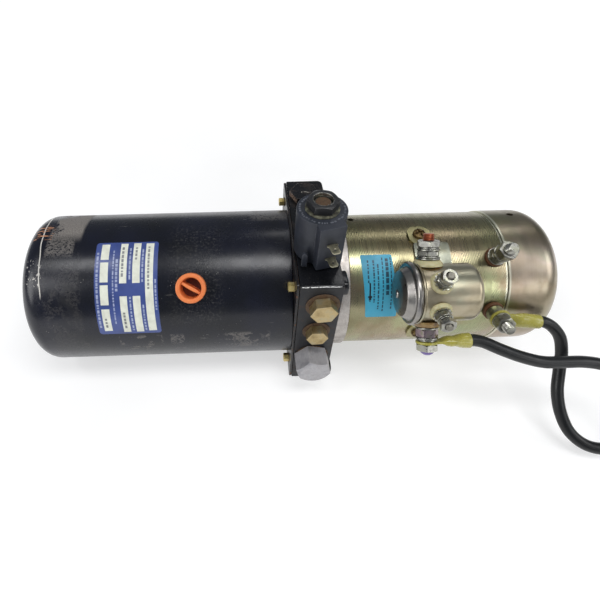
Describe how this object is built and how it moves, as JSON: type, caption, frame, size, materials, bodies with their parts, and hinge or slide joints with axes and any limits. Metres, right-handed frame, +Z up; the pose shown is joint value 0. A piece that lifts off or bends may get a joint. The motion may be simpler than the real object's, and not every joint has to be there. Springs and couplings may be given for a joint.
{
  "type": "hydraulic power unit",
  "caption": "Compact direct-current hydraulic power unit: round oil tank, square pump and valve block with solenoid valve, and electric motor with start relay and jumper cable.",
  "frame": {"origin": "centre of the square block's base face, which carries the two mounting holes", "axes": "+X along the shaft towards the motor, -Y the face with the hex plugs, +Z up along the solenoid valve"},
  "size_m": [0.4795, 0.218, 0.1754],
  "materials": {
    "tank_paint": "satin black paint over steel, scuffed",
    "block_paint": "gloss black paint over a machined metal block, worn and rusty at the edges",
    "yellow_zinc": "yellow zinc plate",
    "olive_zinc": "olive and gold chromated zinc plate with turning marks",
    "bright_zinc": "bright zinc plate",
    "bare_steel": "machined steel",
    "adapter_aluminium": "machined aluminium, slightly corroded",
    "cap_aluminium": "brushed aluminium",
    "cast_aluminium": "as cast",
    "coil_plastic": "matte moulded blue-black plastic",
    "orange_plastic": "matte moulded orange plastic",
    "seal_rubber": "black nitrile rubber",
    "cable_rubber": "black rubber jacket, slightly shiny",
    "lug_sleeve": "yellow-green heat-shrunk sleeve over a copper lug",
    "copper": "bare copper, tarnished",
    "ferrite": "sintered ferrite",
    "carbon": "pressed carbon",
    "laminate": "varnished steel laminations",
    "phenolic": "brown phenolic board",
    "strainer_mesh": "fine wire mesh in a pressed end"
  },
  "bodies": {
    "unit": {"tank_shell": "tank_paint", "tank_flange": "tank_paint", "tank_gasket": "seal_rubber", "tank_bolt_1": "yellow_zinc", "tank_bolt_2": "yellow_zinc", "tank_bolt_3": "yellow_zinc", "tank_bolt_4": "yellow_zinc", "suction_tube": "bare_steel", "suction_strainer": "strainer_mesh", "return_tube": "bare_steel", "block": "block_paint", "port_plug": "yellow_zinc", "check_plug": "yellow_zinc", "check_spring": "bare_steel", "gallery_plug": "yellow_zinc", "relief_cap": "cap_aluminium", "relief_spring": "bare_steel", "valve_cartridge": "bare_steel", "valve_spring": "bare_steel", "coil": "coil_plastic", "coil_nut": "coil_plastic", "spade_upper": "yellow_zinc", "spade_lower": "yellow_zinc", "pump_body": "cast_aluminium", "pump_cover": "cast_aluminium", "shaft_seal": "seal_rubber", "adapter_ring": "adapter_aluminium", "motor_case": "olive_zinc", "end_cap": "olive_zinc", "front_bearing": "bare_steel", "rear_bearing": "bare_steel", "magnet_1": "ferrite", "magnet_2": "ferrite", "brush_ring": "phenolic", "brush_1": "carbon", "brush_2": "carbon", "tie_bolt_1": "yellow_zinc", "tie_bolt_2": "yellow_zinc", "motor_stud_upper": "bright_zinc", "motor_stud_lower": "bright_zinc", "relay_bracket": "bright_zinc", "relay_can": "bright_zinc", "relay_cap": "bright_zinc", "relay_spring": "bare_steel", "relay_stud_upper": "copper", "relay_stud_lower": "copper", "lug_relay": "lug_sleeve", "lug_motor": "lug_sleeve", "jumper_cable": "cable_rubber"},
    "rotor": {"armature_shaft": "bare_steel", "armature_core": "laminate", "commutator": "copper", "coupling": "bare_steel", "drive_gear": "bare_steel"},
    "idler": {"idler_gear": "bare_steel"},
    "filler": {"filler_plug": "orange_plastic"},
    "lowering_plunger": {"valve_plunger": "bare_steel"},
    "check": {"check_poppet": "bare_steel"},
    "relief": {"relief_poppet": "bare_steel"},
    "contactor": {"relay_plunger": "copper"}
  },
  "joints": [
    {"name": "rotor_spin", "type": "hinge", "parent": "unit", "child": "rotor", "pos_m": [0.05, 0, 0.0635], "axis": [1, 0, 0], "continuous": true},
    {"name": "idler_spin", "type": "hinge", "parent": "unit", "child": "idler", "pos_m": [-0.024, 0, 0.0415], "axis": [1, 0, 0], "continuous": true},
    {"name": "filler_plug_lift", "type": "slide", "parent": "unit", "child": "filler", "axis": [0, -0.7071, 0.7071], "range_m": [0, 0.012]},
    {"name": "lowering_valve_plunger", "type": "slide", "parent": "unit", "child": "lowering_plunger", "axis": [0, 0, 1], "range_m": [0, 0.003], "stiffness_N_per_m": 900, "springref_m": -0.002, "deforming": ["valve_spring"]},
    {"name": "check_poppet_lift", "type": "slide", "parent": "unit", "child": "check", "axis": [0, -1, 0], "range_m": [0, 0.0025], "stiffness_N_per_m": 700, "springref_m": -0.002},
    {"name": "relief_poppet_lift", "type": "slide", "parent": "unit", "child": "relief", "axis": [0, -1, 0], "range_m": [0, 0.0025], "stiffness_N_per_m": 1500, "springref_m": -0.003},
    {"name": "relay_plunger_travel", "type": "slide", "parent": "unit", "child": "contactor", "axis": [1, 0, 0], "range_m": [0, 0.0022], "stiffness_N_per_m": 900, "springref_m": -0.003}
  ],
  "couplings": [
    {"joint": "idler_spin", "follows": "rotor_spin", "ratio": -1}
  ]
}
